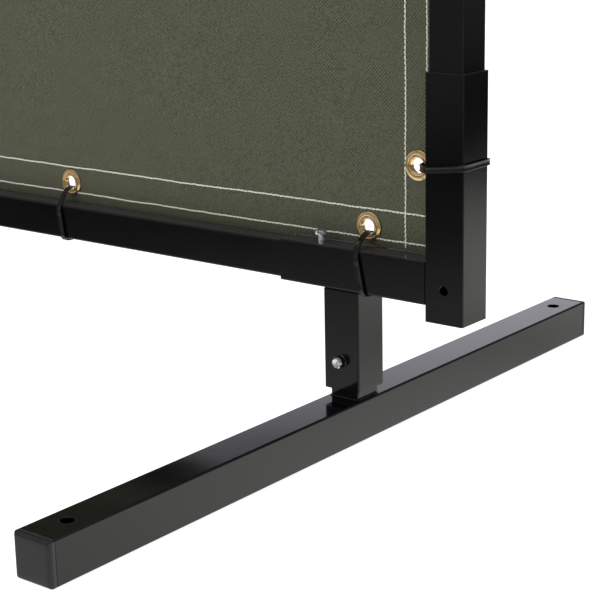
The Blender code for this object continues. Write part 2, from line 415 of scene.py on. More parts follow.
class Surface(Nodes):
    """A material's node tree, with noises placed by the object's own coordinates."""

    def __init__(self, name):
        self.material = bpy.data.materials.new(name)
        self.material.use_nodes = True
        super().__init__(self.material.node_tree)
        self.shader = self.nodes["Principled BSDF"]
        self.place = self.add("TexCoord").outputs["Object"]

    def normal(self):
        return self.add("NewGeometry").outputs["Normal"]

    def scaled(self, scale, turn=(0.0, 0.0, 0.0)):
        node = self.add("Mapping")
        node.inputs["Scale"].default_value = scale
        node.inputs["Rotation"].default_value = turn
        self.link(self.place, node.inputs["Vector"])
        return node.outputs["Vector"]

    def noise(self, scale, detail, vector=None, output="Fac"):
        node = self.add("TexNoise")
        node.inputs["Scale"].default_value = scale
        node.inputs["Detail"].default_value = detail
        self.link(vector or self.place, node.inputs["Vector"])
        return node.outputs[output]

    def mottled(self, scale, detail, first, second):
        """A colour that drifts between two, in patches about one over the scale wide, in metres."""
        return self.mix(self.noise(scale, detail), first, second)

    def uneven(self, scale, detail, low, high):
        """A number that drifts between two, in the same kind of patches."""
        return self.fit(self.noise(scale, detail), NOISE_LOW, NOISE_HIGH, low, high)

    def bump(self, height, strength, distance, after=None):
        node = self.add("Bump")
        node.inputs["Strength"].default_value = strength
        node.inputs["Distance"].default_value = distance
        self.link(height, node.inputs["Height"])
        if after:
            self.link(after, node.inputs["Normal"])
        return node.outputs["Normal"]

    def set(self, **values):
        """Numbers go on the shader's own sockets, and outputs are linked to them."""
        for name, value in values.items():
            self.feed(self.shader.inputs[name.replace("_", " ")], value)
        return self.material


def edge_wear(tree, amount):
    """How worn a place is: the parts are square to the axes, so a slanted normal means a rounded edge."""
    x, y, z = (tree.math("ABSOLUTE", part) for part in tree.separate(tree.normal()))
    squareness = tree.math("MAXIMUM", tree.math("MAXIMUM", x, y), z)
    edge = tree.fit(squareness, 0.97, 0.80)
    return tree.math("MULTIPLY", tree.math("MULTIPLY", edge, tree.noise(260.0, 3.0)), amount)


def powder_coat(name, top_sheen):
    """Semi-gloss black paint. Top sheen is how much painted sheen, standing for light from above, lightens
    faces that look straight up.
    """
    tree = Surface(name)
    cloud = tree.noise(9.0, 3.0)
    colour = tree.mix(cloud, *PAINT)
    colour = tree.mix(edge_wear(tree, 0.5), colour, PAINT_WORN)
    # Painted sheen: faces that look straight up are lightened in patches, as if lit from above.
    if top_sheen:
        level = tree.fit(tree.separate(tree.normal())[2], 0.985, 0.999, 0.0, top_sheen)
        painted_sheen = tree.math("MULTIPLY", level, tree.fit(cloud, NOISE_LOW, NOISE_HIGH, 0.8, 1.0))
        colour = tree.mix(painted_sheen, colour, PAINTED_TOP_SHEEN)
    rough = tree.uneven(22.0, 4.0, 0.085, 0.125)
    peel = tree.bump(tree.noise(420.0, 2.0), 0.030, 0.0006)
    grain = tree.bump(tree.noise(3200.0, 2.0), 0.030, 0.0001, peel)
    return tree.set(Base_Color=colour, Roughness=rough, IOR=1.4, Normal=grain)


def end_plug_plastic():
    tree = Surface("black_moulded_plastic")
    colour = tree.mottled(60.0, 3.0, *PLUG)
    colour = tree.mix(edge_wear(tree, 0.5), colour, PLUG_WORN)
    rough = tree.uneven(300.0, 3.0, 0.36, 0.46)
    grain = tree.bump(tree.noise(2600.0, 3.0), 0.12, 0.0002)
    return tree.set(Base_Color=colour, Roughness=rough, IOR=1.46, Normal=grain)


def zinc_plate():
    """Bright plating whose colour carries small patches of painted reflection, dark and bright, standing for
    what a bolt's facets would reflect.
    """
    tree = Surface("zinc_plate")
    colour = tree.mix(tree.fit(tree.noise(420.0, 2.0), 0.36, 0.54), *ZINC_PAINTED_REFLECTIONS)
    rough = tree.uneven(1500.0, 3.0, 0.12, 0.22)
    scratches = tree.bump(tree.noise(1.0, 2.0, tree.scaled((900.0, 900.0, 9000.0))), 0.10, 0.0001)
    return tree.set(Base_Color=colour, Roughness=rough, Metallic=0.85, Normal=scratches)


def brass(name, colours):
    tree = Surface(name)
    tarnish = tree.fit(tree.noise(260.0, 3.0), 0.42, 0.72, 0.0, 0.35)
    colour = tree.mix(tarnish, *colours)
    rough = tree.uneven(900.0, 3.0, 0.14, 0.27)
    dents = tree.bump(tree.noise(500.0, 2.0), 0.04, 0.0003)
    return tree.set(Base_Color=colour, Roughness=rough, Metallic=1.0, Normal=dents)


def nylon():
    tree = Surface("black_nylon")
    colour = tree.mottled(240.0, 3.0, *NYLON)
    rough = tree.uneven(800.0, 2.0, 0.16, 0.26)
    grain = tree.bump(tree.noise(1200.0, 2.0), 0.03, 0.0001)
    return tree.set(Base_Color=colour, Roughness=rough, IOR=1.5, Normal=grain)


def wandering_place(tree):
    """The object's coordinates, pushed about slowly so that the yarns don't run quite straight."""
    node = tree.add("VectorMath")
    node.operation = "MULTIPLY_ADD"
    tree.link(tree.noise(9.0, 3.0, output="Color"), node.inputs[0])
    node.inputs[1].default_value = (YARN_WANDER,) * 3
    tree.link(tree.place, node.inputs[2])
    return node.outputs["Vector"]


def canvas():
    """Plain weave, woven unevenly: the yarns wander, and each crossing is a little lighter or darker."""
    tree = Surface("olive_canvas")
    x, _, z = tree.separate(wandering_place(tree))
    warp, weft = (tree.math("SINE", tree.math("MULTIPLY", axis, math.pi / YARN)) for axis in (x, z))
    crossing = tree.math("MULTIPLY", warp, weft)
    patch = tree.fit(tree.noise(42.0, 3.0), 0.36, 0.60, 0.30, 1.0)
    grain = tree.math("MULTIPLY", crossing, patch)
    speckle = tree.noise(620.0, 3.0)
    cloud = tree.noise(6.0, 4.0)
    colour = tree.mix(tree.fit(grain, -1.0, 1.0), *YARNS)
    colour = tree.mix(tree.fit(speckle, 0.36, 0.66, 0.0, 0.40), colour, FLECK_LIGHT)
    colour = tree.mix(tree.fit(speckle, 0.54, 0.36, 0.0, 0.35), colour, FLECK_DARK)
    colour = tree.mix(tree.fit(cloud, 0.35, 0.65, 0.0, 0.20), colour, FADED)
    fuzz = tree.bump(tree.noise(1700.0, 2.0), 0.30, 0.0002)
    yarns = tree.bump(grain, 0.60, 0.0004, fuzz)
    return tree.set(Base_Color=colour, Roughness=0.92, Sheen_Weight=0.06, IOR=1.35, Normal=yarns)


def sewing_thread():
    tree = Surface("sewing_thread")
    colour = tree.mottled(500.0, 3.0, *COTTON)
    twist = tree.noise(1.0, 1.0, tree.scaled((1500.0, 1500.0, 1500.0), (0.6, 0.6, 0.6)))
    return tree.set(Base_Color=colour, Roughness=0.8, Sheen_Weight=0.1, Normal=tree.bump(twist, 0.4, 0.0003))


# Tubes

def drilled(item, holes):
    """Cut holes with softly broken rims in one wall. A hole is (place on the face, direction, radius)."""
    for number, (place, direction, radius) in enumerate(holes):
        depth = DRILL_DEPTH * WALL
        rings = [round_ring(radius, -depth), round_ring(radius, -HOLE_BREAK)]
        for angle in quarter_turn(BREAK_STEPS)[1:]:
            rim = radius + HOLE_BREAK * (1.0 - math.cos(angle))
            rings.append(round_ring(rim, HOLE_BREAK * (math.sin(angle) - 1.0)))
        rings.append(round_ring(radius + HOLE_BREAK, depth))
        part = moved(skin(rings), turned(direction, place))
        cutter = add_object(f"{item.name}_drill_{number}", *part, item.data.materials[0])
        modifier = item.modifiers.new("hole", "BOOLEAN")
        modifier.operation = "DIFFERENCE"
        modifier.solver = "EXACT"
        modifier.object = cutter
        bpy.context.view_layer.update()
        graph = bpy.context.evaluated_depsgraph_get()
        made = bpy.data.meshes.new_from_object(item.evaluated_get(graph))
        item.modifiers.clear()
        item.data = made
        bpy.data.objects.remove(cutter)
    if holes:
        item.data.shade_smooth()
        item.data.set_sharp_from_angle(angle=math.radians(SHARP_ANGLE))
        normals = item.modifiers.new("flat walls", "WEIGHTED_NORMAL")
        normals.keep_sharp = True
        normals.weight = 100


def tube_part(low, high):
    """A square tube along a box's longest side, with broken edges at both ends."""
    size = high - low
    axis = max(range(3), key=lambda k: size[k])
    length = size[axis]
    half = size[(axis + 1) % 3] / 2.0
    outside = []
    for angle in quarter_turn(EDGE_STEPS):
        inset = EDGE_BREAK * (1.0 - math.sin(angle))
        outside.append((half - inset, EDGE_BREAK * (1.0 - math.cos(angle))))
    outside.append((half, 3.0 * EDGE_BREAK))
    rings = [square_ring(width, CORNER_RADIUS, height) for width, height in outside]
    rings += [square_ring(width, CORNER_RADIUS, length - height) for width, height in reversed(outside)]
    rings += [square_ring(half - WALL, BORE_RADIUS, height) for height in (length, 0.0)]
    start = (low + high) / 2.0
    start[axis] = low[axis]
    direction = Vector([1.0 if k == axis else 0.0 for k in range(3)])
    return moved(skin(rings, closed=True), turned(direction, start))


def tube(name, node, material, holes=()):
    item = add_object(name, *tube_part(*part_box(node)), material)
    drilled(item, holes)
    stand_for(item, node)
    return item


def plug_part(width, flange, spigot):
    """A moulded end plug along +Z, with its flange's underside at 0."""
    half = width / 2.0
    bore = half - WALL - PLUG_EASE
    rings = [
        square_ring(bore - SPIGOT_TAPER, BORE_RADIUS, -spigot),
        square_ring(bore, BORE_RADIUS, SPIGOT_LEAD - spigot),
        square_ring(bore, BORE_RADIUS, 0.0),
    ]
    for inset, height in FLANGE_UNDER_EDGE:
        rings.append(square_ring(half - inset, CORNER_RADIUS, height))
    for angle in quarter_turn(PLUG_STEPS):
        inset = PLUG_ROUNDING * (1.0 - math.cos(angle))
        height = flange - PLUG_ROUNDING * (1.0 - math.sin(angle))
        rings.append(square_ring(half - inset, CORNER_RADIUS + 0.4 * inset, height))
    rings.append(square_ring(half - PLUG_ROUNDING - CROWN_INSET, CROWN_RADIUS, flange - CROWN_DIP))
    return skin(rings)


def plug(name, node, width, end, way, spigot, plastic):
    """Build an end plug in its CAD node's place, outwards from the middle of a tube's end."""
    outermost = max(corner.dot(way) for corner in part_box(node))
    part = plug_part(width, outermost - end.dot(way), spigot)
    item = add_object(name, *moved(part, turned(way, end)), plastic)
    stand_for(item, node)


# Bolts, nuts and welds

def hex_ring(height, most=1.0):
    """A hexagon ring whose corners are cut back to a share of their reach, as a chamfer leaves them."""
    sector = math.pi / 3.0
    longest = most * HEX_FLATS / math.sqrt(3.0)
    points = []
    for step in range(ROUND_STEPS):
        angle = 2.0 * math.pi * step / ROUND_STEPS
        reach = HEX_FLATS / 2.0 / math.cos(angle % sector - sector / 2.0)
        points.append(polar(min(reach, longest), angle, height))
    return points


def thread_rings(length):
    """A screw thread along +Z, as rings whose radius rises and falls once in each pitch."""
    rings = []
    steps = int(length / THREAD_PITCH * STEPS_PER_TURN)
    for step in range(steps + 1):
        height = length * step / steps
        ring = []
        for k in range(ROUND_STEPS):
            phase = (height / THREAD_PITCH - k / ROUND_STEPS) % 1.0
            radius = THREAD_RADIUS - THREAD_DEPTH * abs(2.0 * phase - 1.0)
            ring.append(polar(radius, 2.0 * math.pi * k / ROUND_STEPS, height))
        rings.append(ring)
    return rings


def bolt_part(stand, crown, boss):
    """A hexagon-head bolt along +Z, with a cut thread, a washer face and a chamfered head."""
    head = crown - stand
    washer_top = stand + WASHER_HEIGHT
    rings = thread_rings(stand)
    rings += [
        round_ring(HEX_FLATS * 0.475, stand),
        round_ring(HEX_FLATS * 0.475, washer_top),
        hex_ring(washer_top + 0.0002, CHAMFERED),
        hex_ring(washer_top + 0.0005),
    ]
    if boss:
        rings += [
            hex_ring(crown - 0.48 * head),
            hex_ring(crown - 0.40 * head, CHAMFERED),
            round_ring(BOSS_RADIUS, crown - 0.36 * head),
            round_ring(BOSS_RADIUS, crown - 0.10 * head),
            round_ring(BOSS_RADIUS - 0.0003, crown),
        ]
    else:
        rings += [
            hex_ring(crown - 0.16 * head),
            hex_ring(crown - 0.06 * head, CHAMFERED),
            round_ring(HEX_FLATS * 0.45, crown),
        ]
    rings.append(round_ring(HEX_FLATS * 0.30, crown - 0.0001))
    return skin(rings)


def nut_part():
    """A hexagon nut along +Z with chamfered faces, standing on its weld."""
    bore = THREAD_RADIUS + 0.0002
    rings = [
        round_ring(HEX_FLATS * 0.60, 0.0),
        round_ring(HEX_FLATS * 0.56, 0.0004),
        hex_ring(0.0008, 0.95),
        hex_ring(0.0011, 0.99),
        hex_ring(NUT_HEIGHT - 0.0006, 0.99),
        hex_ring(NUT_HEIGHT - 0.0002, 0.94),
        round_ring(HEX_FLATS * 0.46, NUT_HEIGHT),
        round_ring(bore + 0.0004, NUT_HEIGHT),
        round_ring(bore, NUT_HEIGHT - 0.0004),
        round_ring(bore, 0.0),
    ]
    return skin(rings, closed=True)


def bolt(node, way, zinc, boss):
    """Build a bolt in its CAD node's box, along its own direction."""
    low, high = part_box(node)
    length = abs((high - low).dot(way))
    foot = middle(node) - way * length / 2.0
    part = moved(bolt_part(length - HEAD_HEIGHT, length, boss), turned(way, foot))
    item = add_object(f"{node}_zinc", *part, zinc, 28.0)
    stand_for(item, node)


def bead_part(start, end, radius):
    """A weld bead from one point to another: a fat ripple for each drop of weld."""
    start, end = Vector(start), Vector(end)
    length = (end - start).length
    drops = max(2, round(length / DROP_LENGTH))
    rings = []
    for step in range(drops * DROP_STEPS + 1):
        share = step / (drops * DROP_STEPS)
        swell = 0.80 + 0.20 * abs(math.sin(math.pi * drops * share)) + chance.uniform(-0.04, 0.04)
        ease = min(1.0, 8.0 * share + 0.35, 8.0 * (1.0 - share) + 0.35)
        rings.append(round_ring(radius * swell * ease, length * share, 10))
    return moved(skin(rings), turned((end - start).normalized(), start))


def edge_bead(node, axis, place, radius):
    """A bead along one axis (0, 1 or 2), from near one end of a node's box to near the other."""
    low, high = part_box(node)
    start, end = Vector(place), Vector(place)
    start[axis] = low[axis] + BEAD_INSET
    end[axis] = high[axis] - BEAD_INSET
    return bead_part(start, end, radius)


def weld(name, beads, node, coat):
    """Join weld beads into one piece that rides with a node's body."""
    item = add_object(name, *merge(beads), coat)
    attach(item, body_of(node))


# Curtain

def curtain_holes():
    """Each hole's edge name, number, centre, and the way from it to its tube."""
    low, high = CURTAIN_LOW, CURTAIN_HIGH
    span = HOLE_PITCH * (HOLES_PER_EDGE - 1)
    middle_z = (low.z + high.z) / 2.0
    edges = (
        ("bottom", -UP, low.z + HOLE_INSET),
        ("top", UP, high.z - HOLE_INSET),
        ("right", RIGHT, high.x - HOLE_INSET),
        ("left", -RIGHT, low.x + HOLE_INSET),
    )
    holes = []
    for edge, outward, level in edges:
        for number in range(HOLES_PER_EDGE):
            along = HOLE_PITCH * number - span / 2.0
            if edge in FRAME_ENDS:
                centre = Vector((along, 0.0, level))
            else:
                centre = Vector((level, 0.0, middle_z + along))
            holes.append((edge, number + 1, centre, outward))
    return holes


HOLES = curtain_holes()


def clamp(value):
    return min(1.0, max(0.0, value))


def edge_distance(x, z):
    """How far inside the canvas's nearest edge a place is."""
    return min(x - CURTAIN_LOW.x, CURTAIN_HIGH.x - x, z - CURTAIN_LOW.z, CURTAIN_HIGH.z - z)


def cloth_y(x, z):
    """Depth of the canvas's front face: slow waves that fade out where its edges are held."""
    middle = (CURTAIN_LOW.y + CURTAIN_HIGH.y) / 2.0 - PLY
    slack = clamp(edge_distance(x, z) / TAUT_MARGIN)
    wave = BILLOW * math.sin(5.1 * x + 1.3) * math.sin(4.3 * z + 0.6)
    wave += SWAY * math.sin(11.0 * x - 6.0 * z) + RIPPLE * math.sin(17.0 * z + 3.0 * x)
    return middle + slack * wave


def hem_drop(x, z):
    """How far the lower hem's edge hangs under its mean line, nearly onto the rail or onto its sleeves."""
    share = clamp(1.0 - (z - CURTAIN_LOW.z) / ROW_INSETS[0])
    onto_sleeve = clamp((abs(x) - SLEEVE_START + STEP_OUTSIDE) / (STEP_OUTSIDE - STEP_INSIDE))
    return share * (HEM_DROP_RAIL + (HEM_DROP_SLEEVE - HEM_DROP_RAIL) * onto_sleeve)


def grid_lines(low, high, needed):
    """Sorted lines from low to high that include the needed ones and are no more than a cell apart."""
    marks = sorted({round(v, 6) for v in (low, high, *needed) if low - 1e-9 <= v <= high + 1e-9})
    lines = marks[:1]
    for start, mark in zip(marks, marks[1:]):
        steps = max(1, math.ceil((mark - start) / CLOTH_CELL - 1e-6))
        lines += [start + (mark - start) * k / steps for k in range(1, steps + 1)]
    return lines


def cloth_lines():
    """The grid's columns and rows, with lines at the holes, at the hems' steps and by the sleeves."""
    low, high = CURTAIN_LOW, CURTAIN_HIGH
    columns, rows = [], []
    for _, _, centre, _ in HOLES:
        for reach in (-CLOTH_CELL, 0.0, CLOTH_CELL):
            columns.append(centre.x + reach)
            rows.append(centre.z + reach)
    for step in (HEM_WIDTH, HEM_WIDTH + HEM_STEP):
        columns += [low.x + step, high.x - step]
        rows += [low.z + step, high.z - step]
    for sign in SIDES.values():
        columns += [sign * (SLEEVE_START - STEP_OUTSIDE), sign * (SLEEVE_START - STEP_INSIDE)]
    return grid_lines(low.x, high.x, columns), grid_lines(low.z, high.z, rows)


def round_hole(vertices, outer, x, z):
    """Fill a square gap in the cloth's grid, down to a round hole. Returns the rim and the new faces."""
    rim = []
    for index in outer:
        corner_x, _, corner_z = vertices[index]
        spoke = polar(CLOTH_HOLE, math.atan2(corner_z - z, corner_x - x))
        rim.append(len(vertices))
        vertices.append((x + spoke.x, cloth_y(x + spoke.x, z + spoke.y), z + spoke.y))
    count = len(outer)
    faces = [(outer[k], outer[(k + 1) % count], rim[(k + 1) % count], rim[k]) for k in range(count)]
    return rim, faces


def thickened(vertices, faces, loops):
    """A closed sheet: the faces, a copy of them behind, and walls along the loops."""
    count = len(vertices)
    back = []
    for x, y, z in vertices:
        plies = HEM_PLIES if edge_distance(x, z) < HEM_WIDTH + HEM_STEP / 2.0 else 1.0
        back.append((x, y + plies * PLY, z))
    closed = list(faces) + [tuple(count + i for i in reversed(face)) for face in faces]
    for loop in loops:
        for k, index in enumerate(loop):
            follower = loop[(k + 1) % len(loop)]
            closed.append((index, count + index, count + follower, follower))
    return vertices + back, closed


def without_strays(vertices, faces):
    """The same shape without the vertices that no face uses."""
    used = sorted({i for face in faces for i in face})
    order = {index: place for place, index in enumerate(used)}
    return [vertices[i] for i in used], [tuple(order[i] for i in face) for face in faces]


def curtain_part():
    """The canvas as a thin closed sheet: one ply, three at the hems, with a hole for each grommet."""
    columns, rows = cloth_lines()
    centres = {(round(c.x, 6), round(c.z, 6)) for _, _, c, _ in HOLES}
    wide, tall = len(columns), len(rows)
    vertices = [(x, cloth_y(x, z), z - hem_drop(x, z)) for z in rows for x in columns]
    around = ((-1, -1), (0, -1), (1, -1), (1, 0), (1, 1), (0, 1), (-1, 1), (-1, 0))
    faces, dropped, rims = [], set(), []
    for r, z in enumerate(rows):
        for c, x in enumerate(columns):
            if (round(x, 6), round(z, 6)) in centres:
                dropped |= {(r + up, c + over) for up in (-1, 0) for over in (-1, 0)}
                outer = [(r + up) * wide + c + over for over, up in around]
                rim, hole_faces = round_hole(vertices, outer, x, z)
                rims.append(rim)
                faces += hole_faces
    for r in range(tall - 1):
        for c in range(wide - 1):
            if (r, c) not in dropped:
                first = r * wide + c
                faces.append((first, first + 1, first + wide + 1, first + wide))
    border = list(range(wide))
    border += [r * wide + wide - 1 for r in range(1, tall)]
    border += [(tall - 1) * wide + c for c in reversed(range(wide - 1))]
    border += [r * wide for r in reversed(range(1, tall - 1))]
    return without_strays(*thickened(vertices, faces, (border, *rims)))


def seam_part(start, end, side):
    """One row of stitches between two points of the curtain, (x, z), on its front (-1) or back (1)."""
    start, end = Vector(start), Vector(end)
    length = (end - start).length
    along = (end - start).normalized()
    across = Vector((-along.y, along.x))
    stitches = round(length / STITCH)
    lifts = ((0.0, -1.2), (0.09, 0.0), (0.24, 0.7), (0.5, 0.95), (0.76, 0.7), (0.91, 0.0))
    rings = []
    drift = 0.0
    for stitch in range(stitches):
        drift = 0.85 * drift + chance.uniform(-0.00018, 0.00018)
        lean = chance.uniform(-0.00022, 0.00022)
        slip = chance.uniform(-0.06, 0.06) if stitch else 0.0
        for share, lift in lifts:
            at = start + along * (stitch + share + slip * (1.0 - share)) * length / stitches
            at += across * (drift + lean * (share - 0.5) * 2.0)
            y = cloth_y(at.x, at.y)
            if side > 0:
                y += HEM_PLIES * PLY
            y += side * THREAD * lift
            ring = []
            for spoke in round_ring(THREAD, 0.0, THREAD_SIDES):
                flat = at + across * spoke.x
                ring.append((flat.x, y + THREAD_SQUASH * spoke.y, flat.y))
            rings.append(ring)
    return skin(rings)


def clear_of_holes(start, end):
    """Split a seam where it would run under a grommet's flange."""
    start, end = Vector(start), Vector(end)
    along = (end - start).normalized()
    length = (end - start).length
    stops = []
    for _, _, centre, _ in HOLES:
        offset = Vector((centre.x, centre.z)) - start
        middle = offset.dot(along)
        miss = abs(offset.dot(Vector((-along.y, along.x))))
        reach = GROMMET_OUTER - SEAM_UNDER_RIM
        if miss < reach:
            half = math.sqrt(reach**2 - miss**2)
            stops.append((middle - half, middle + half))
    spans, at = [], 0.0
    for low, high in sorted(stops):
        if low - at > STITCH:
            spans.append((start + along * at, start + along * low))
        at = max(at, high)
    if length - at > STITCH:
        spans.append((start + along * at, end))
    return spans


def seams(edge):
    """The two rows or columns of stitches along an edge, as lines in (x, z)."""
    low, high = CURTAIN_LOW, CURTAIN_HIGH
    lines = []
    if edge in FRAME_ENDS:
        for inset in ROW_INSETS:
            z = low.z + inset if edge == "bottom" else high.z - inset
            lines.append(((low.x + SEAM_MARGIN, z), (high.x - SEAM_MARGIN, z)))
    else:
        for inset in COLUMN_INSETS:
            x = high.x - inset if edge == "right" else low.x + inset
            lines.append(((x, low.z + SEAM_MARGIN), (x, high.z - SEAM_MARGIN)))
    return lines


def arc(centre, radius, start, end, steps):
    """Points of an arc in (radius, height), with angles in degrees."""
    points = []
    for k in range(steps + 1):
        spoke = polar(radius, math.radians(start + (end - start) * k / steps))
        points.append((centre[0] + spoke.x, centre[1] + spoke.y))
    return points


def grommet_part():
    """A brass eyelet in its washer, turned round +Z, with the cloth's front face at 0 and its back below."""
    bore, rim = GROMMET_BORE, GROMMET_OUTER
    back = -HEM_PLIES * PLY
    skirt = arc((rim - 0.0011, 0.0002), 0.0011, 0.0, 78.0, 7)
    shoulder = arc((rim - 0.0025, -0.0002), 0.0020, 55.0, 118.0, 7)
    groove = [(rim - 0.0037, 0.0009), (rim - 0.0041, 0.0001)]
    crown = arc((bore + 0.00080, 0.0011), 0.00100, -20.0, 180.0, 14)
    barrel = [(bore - 0.0002, 0.0), (bore - 0.0002, back)]
    curl = arc((bore + 0.00085, back - 0.0004), 0.00105, 180.0, 335.0, 10)
    washer = [(rim - 0.0032, back - 0.0006), (rim - 0.0008, back - 0.0005), (rim - 0.0002, back - 0.0002)]
    outline = [(rim, 0.00002), *skirt, *shoulder, *groove, *crown, *barrel, *curl, *washer]
    return skin([round_ring(radius, height, GROMMET_STEPS) for radius, height in outline], closed=True)


# Cable ties

def tie_outline(reach, hole_y, half):
    """A loose loop round a tube, as points of (depth along Y, distance from its middle towards the hole)."""
    near, close = half + 0.0018, half + 0.0014
    hole = (hole_y, reach - TIE_IN_HOLE)
    over = [(-0.0046, 0.84 * reach - 0.0010), (-half + 0.0040, half + 0.0045)]
    front = [
        (-half - 0.0014, 0.80 * half), (-near, 0.0040),
        (-near, -0.0070), (-close - 0.0002, -half + 0.0012),
    ]
    under = [(-half + 0.0018, -close), (0.0, -close - 0.0001), (half - 0.0018, -close)]
    back = [
        (close, -half + 0.0018), (close + 0.0006, 0.0),
        (close, half - 0.0010), (0.0128, 0.71 * reach),
    ]
    return [hole, *over, *front, *under, *back]


def smooth_loop(points, steps):
    """A closed Catmull-Rom curve through the points, with a number of steps from each to the next."""
    count = len(points)
    curve = []
    for i in range(count):
        before, start, end, after = (Vector(points[(i + k - 1) % count]) for k in range(4))
        bend = 2.0 * before - 5.0 * start + 4.0 * end - after
        sweep = 3.0 * start - 3.0 * end + after - before
        for step in range(steps):
            share = step / steps
            line = 2.0 * start + (end - before) * share
            curve.append(0.5 * (line + bend * share**2 + sweep * share**3))
    return curve


def band_section(rib):
    """A cable tie's cross-section as (across, outward), with raised borders and sometimes a rib between."""
    half, thick = TIE_WIDTH / 2.0, TIE_THICKNESS / 2.0
    inner = half - TIE_BORDER
    soft = TIE_EDGE
    middle = thick - TIE_RAISE - (0.0 if rib else TIE_RIB)
    side = [
        (half - soft, -thick), (half, -thick + soft), (half, thick - soft), (half - soft, thick),
        (inner + soft, thick), (inner, thick - TIE_RAISE), (inner - soft, middle),
    ]
    return side + [(-across, outward) for across, outward in reversed(side)]


def rounded_block(size, soft, centre, axes):
    """A block with softened edges, from its size along three axes, with its ends square to the last."""
    wide, thick, long = size
    ends = ((-soft, 0.0), (0.0, soft), (0.0, long - soft), (-soft, long))
    across, outward, ahead = axes
    rings = []
    for grow, at in ends:
        ring = []
        for k in range(BLOCK_SIDES):
            angle = 2.0 * math.pi * (k + 0.5) / BLOCK_SIDES
            shares = [math.copysign(abs(c)**BLOCK_SQUARENESS, c) for c in (math.cos(angle), math.sin(angle))]
            corner = across * shares[0] * (wide + grow) / 2.0 + outward * shares[1] * (thick + grow) / 2.0
            ring.append(tuple(centre + corner + ahead * (at - long / 2.0)))
        rings.append(ring)
    return skin(rings)


def head_part(place, ahead, outward, across):
    """A ratchet head: a rounded box with its tail's cut end standing out of it."""
    axes = (across, outward, ahead)
    tail_place = place + outward * TIE_TAIL_RAISE + ahead * TIE_TAIL_AHEAD
    body = rounded_block(TIE_HEAD_SIZE, 0.0006, place + outward * TIE_HEAD_RAISE, axes)
    return merge([body, rounded_block(TIE_TAIL_SIZE, 0.0002, tail_place, axes)])


def tie_part(edge, number, centre, outward):
    """A ribbed band through one grommet and round the tube or sleeve, with its head behind."""
    at_corner = number in (1, HOLES_PER_EDGE)
    wall_low, wall_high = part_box("leg_socket_right" if at_corner else "rail_bottom")
    tube_middle = middle(f"rail_{edge}" if edge in FRAME_ENDS else f"post_{edge}")
    reach = abs((tube_middle - centre).dot(outward))
    hole_y = (CURTAIN_LOW.y + CURTAIN_HIGH.y) / 2.0
    outline = tie_outline(reach, hole_y, (wall_high.y - wall_low.y) / 2.0)
    path = smooth_loop(outline, TIE_STEPS_PER_POINT)
    count = len(path)
    across = RIGHT if edge in FRAME_ENDS else UP
    axis = centre + outward * reach
    far_side = min(point.y for point in path)
    most_lean = LEG_TIE_LEAN if edge == "bottom" and at_corner else TIE_LEAN
    if edge in FRAME_ENDS:
        most_lean = math.copysign(most_lean, centre.x)

    def spot(point, shift):
        """A point of the loop's plane in the row frame, leaned along the edge."""
        share = (reach - point.y) / (reach - far_side)
        lean = most_lean * share**TIE_LEAN_CURVE
        place = axis - outward * point.y + across * (lean + shift)
        return Vector((place.x, point.x, place.z))

    rings = []
    for i, point in enumerate(path):
        ahead = path[(i + 1) % count] - path[i - 1]
        normal = Vector((ahead.y, -ahead.x)).normalized()
        if normal.dot(point) < 0.0:
            normal = -normal
        section = band_section(i % 2 == 0)
        rings.append([tuple(spot(point + normal * lift, shift)) for shift, lift in section])
    band = skin(rings, closed=True)
    at = round(TIE_HEAD_AT * TIE_STEPS_PER_POINT) % count
    here, after = spot(path[at], 0.0), spot(path[(at + 1) % count], 0.0)
    ahead = (after - here).normalized()
    out = across.cross(ahead).normalized()
    if out.dot(here - spot(Vector((0.0, 0.0)), 0.0)) < 0.0:
        out = -out
    return merge([band, head_part(here, ahead, out, across)])


# Building

def build_feet(coat, plastic):
    for side in SIDES:
        node = f"foot_tube_{side}"
        low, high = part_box(node)
        x = (low.x + high.x) / 2.0
        holes = [((x, way * FOOT_HOLE_Y, high.z), UP, FOOT_HOLE_RADIUS) for way in (-1.0, 1.0)]
        tube(f"foot_bar_{side}", node, coat, holes)
        stub = f"foot_stub_{side}"
        tube(f"foot_upright_{side}", stub, coat)
        width = high.x - low.x
        for facing, y, way in (("front", low.y, FRONT), ("back", high.y, -FRONT)):
            end = Vector((x, y, (low.z + high.z) / 2.0))
            cap = f"foot_cap_{side}_{facing}"
            plug(f"foot_plug_{side}_{facing}", cap, width, end, way, FOOT_SPIGOT, plastic)
        first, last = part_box(stub)
        z = high.z + STUB_BEAD_RAISE
        corners = [(first.x, first.y, z), (last.x, first.y, z), (last.x, last.y, z), (first.x, last.y, z)]
        beads = [bead_part(corners[k], corners[(k + 1) % 4], STUB_BEAD) for k in range(4)]
        weld(f"foot_weld_{side}", beads, stub, coat)


def build_legs(coat, zinc):
    for side, sign in SIDES.items():
        node = f"leg_socket_{side}"
        low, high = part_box(node)
        centre = middle(f"leg_nut_{side}")
        front = (centre.x, low.y, centre.z)
        tube(f"leg_{side}", node, coat, [(front, FRONT, BOLT_HOLE_RADIUS)])
        item = add_object(f"leg_weld_nut_{side}", *moved(nut_part(), turned(FRONT, front)), coat, 30.0)
        stand_for(item, f"leg_nut_{side}")
        bolt(f"leg_bolt_{side}", FRONT, zinc, True)
        inner = low.x if sign > 0 else high.x
        beads = [
            edge_bead(node, 1, (inner, 0.0, high.z), LEG_BEAD),
            edge_bead(node, 0, (0.0, high.y, high.z), LEG_BEAD),
        ]
        weld(f"leg_weld_{side}", beads, node, coat)


def post_hole(side, end):
    """Where the empty hole in a post sleeve is, as a place on the sleeve's front face."""
    low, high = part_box(f"post_sleeve_{end}_{side}")
    inward = FRAME_ENDS[end]
    tail = low.z if inward > 0 else high.z
    return Vector(((low.x + high.x) / 2.0, low.y, tail + inward * POST_HOLE_FROM_TAIL))


